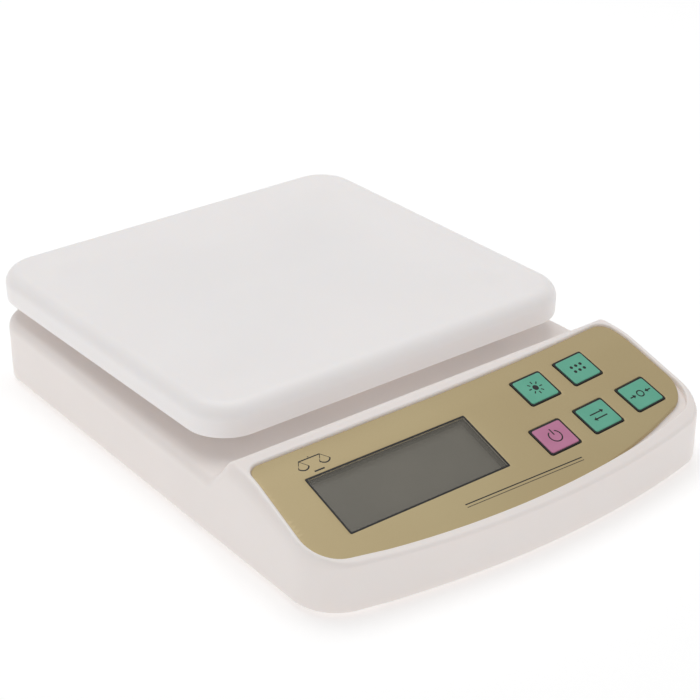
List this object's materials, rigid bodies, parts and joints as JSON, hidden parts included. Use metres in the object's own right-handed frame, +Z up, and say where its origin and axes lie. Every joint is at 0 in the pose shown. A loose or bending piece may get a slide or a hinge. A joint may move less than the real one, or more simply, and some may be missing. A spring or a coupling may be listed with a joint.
{
  "type": "retail price scale",
  "caption": "Compact electronic bench scale: lift-off weighing platform on a load cell, low housing with a sloped display and key panel, battery box underneath.",
  "frame": {"origin": "middle of the footprint, on the surface the feet stand on", "axes": "+Z up, -Y towards the user (the display and keys), +X to the user's right"},
  "size_m": [0.1821, 0.2403, 0.0463],
  "materials": {
    "housing_white": "moulded ABS, fine satin texture",
    "platform_white": "moulded ABS, satin",
    "overlay_gold": "printed polyester sheet, metallic gold, satin",
    "key_green": "moulded, semi-gloss",
    "key_pink": "moulded, semi-gloss",
    "black_plastic": "moulded, matte",
    "rubber_dark": "matte",
    "zinc_steel": "zinc plated",
    "aluminium_bar": "milled",
    "silicone_white": "soft silicone",
    "lens_clear": "clear acrylic",
    "lcd_grey": "display glass, unlit, grey-green",
    "diffuser_white": "light guide",
    "board_green": "circuit board with solder mask",
    "contact_metal": "nickel plated spring steel",
    "battery_sleeve": "printed sleeve, plain"
  },
  "bodies": {
    "case": {"upper_housing": "housing_white", "base_plate": "housing_white", "foot_1": "rubber_dark", "foot_2": "rubber_dark", "foot_3": "rubber_dark", "foot_4": "rubber_dark", "load_cell": "aluminium_bar", "cell_base_spacer": "zinc_steel", "gauge_cover_top": "silicone_white", "gauge_cover_bottom": "silicone_white", "cell_base_screw_1": "zinc_steel", "cell_base_screw_2": "zinc_steel", "overload_stop_screw": "zinc_steel", "battery_cell_1": "battery_sleeve", "battery_cell_2": "battery_sleeve", "contact_bridge": "contact_metal", "contact_minus": "contact_metal", "contact_plus": "contact_metal", "panel_overlay": "overlay_gold", "switch_power": "black_plastic", "switch_mode": "black_plastic", "switch_tare": "black_plastic", "switch_light": "black_plastic", "switch_count": "black_plastic", "lcd_lens": "lens_clear", "lcd_glass": "lcd_grey", "lcd_backlight": "diffuser_white", "lcd_connector": "silicone_white", "lcd_frame": "black_plastic", "main_board": "board_green", "controller_chip": "black_plastic", "board_screw_1": "zinc_steel", "board_screw_2": "zinc_steel", "board_screw_3": "zinc_steel", "board_screw_4": "zinc_steel", "cell_cable": "black_plastic", "battery_cable": "black_plastic", "power_jack": "black_plastic", "case_screw_1": "zinc_steel", "case_screw_2": "zinc_steel", "case_screw_3": "zinc_steel", "case_screw_4": "zinc_steel", "case_screw_5": "zinc_steel", "case_screw_6": "zinc_steel"},
    "load_bridge": {"platform_spider": "zinc_steel", "platform_pad_1": "rubber_dark", "platform_pad_2": "rubber_dark", "platform_pad_3": "rubber_dark", "platform_pad_4": "rubber_dark", "cell_top_post": "aluminium_bar", "cell_top_screw_1": "zinc_steel", "cell_top_screw_2": "zinc_steel"},
    "platform": {"weighing_platform": "platform_white"},
    "battery_door": {"battery_door": "housing_white"},
    "key_power": {"key_power": "key_pink"},
    "key_mode": {"key_mode": "key_green"},
    "key_tare": {"key_tare": "key_green"},
    "key_light": {"key_light": "key_green"},
    "key_count": {"key_count": "key_green"}
  },
  "joints": [
    {"name": "load_deflection", "type": "slide", "parent": "case", "child": "load_bridge", "axis": [0, 0, -1], "range_m": [0, 0.0004], "stiffness_N_per_m": 60000},
    {"name": "platform_lift", "type": "slide", "parent": "load_bridge", "child": "platform", "axis": [0, 0, 1], "range_m": [0, 0.06]},
    {"name": "battery_door_tilt", "type": "hinge", "parent": "case", "child": "battery_door", "pos_m": [0, -0.0302, 0.0022], "axis": [-1, 0, 0], "range_deg": [0, 35]},
    {"name": "power_press", "type": "slide", "parent": "case", "child": "key_power", "axis": [0, 0.3256, -0.9455], "range_m": [0, 0.0005], "stiffness_N_per_m": 800},
    {"name": "mode_press", "type": "slide", "parent": "case", "child": "key_mode", "axis": [0, 0.3256, -0.9455], "range_m": [0, 0.0005], "stiffness_N_per_m": 800},
    {"name": "tare_press", "type": "slide", "parent": "case", "child": "key_tare", "axis": [0, 0.3256, -0.9455], "range_m": [0, 0.0005], "stiffness_N_per_m": 800},
    {"name": "light_press", "type": "slide", "parent": "case", "child": "key_light", "axis": [0, 0.3256, -0.9455], "range_m": [0, 0.0005], "stiffness_N_per_m": 800},
    {"name": "count_press", "type": "slide", "parent": "case", "child": "key_count", "axis": [0, 0.3256, -0.9455], "range_m": [0, 0.0005], "stiffness_N_per_m": 800}
  ]
}
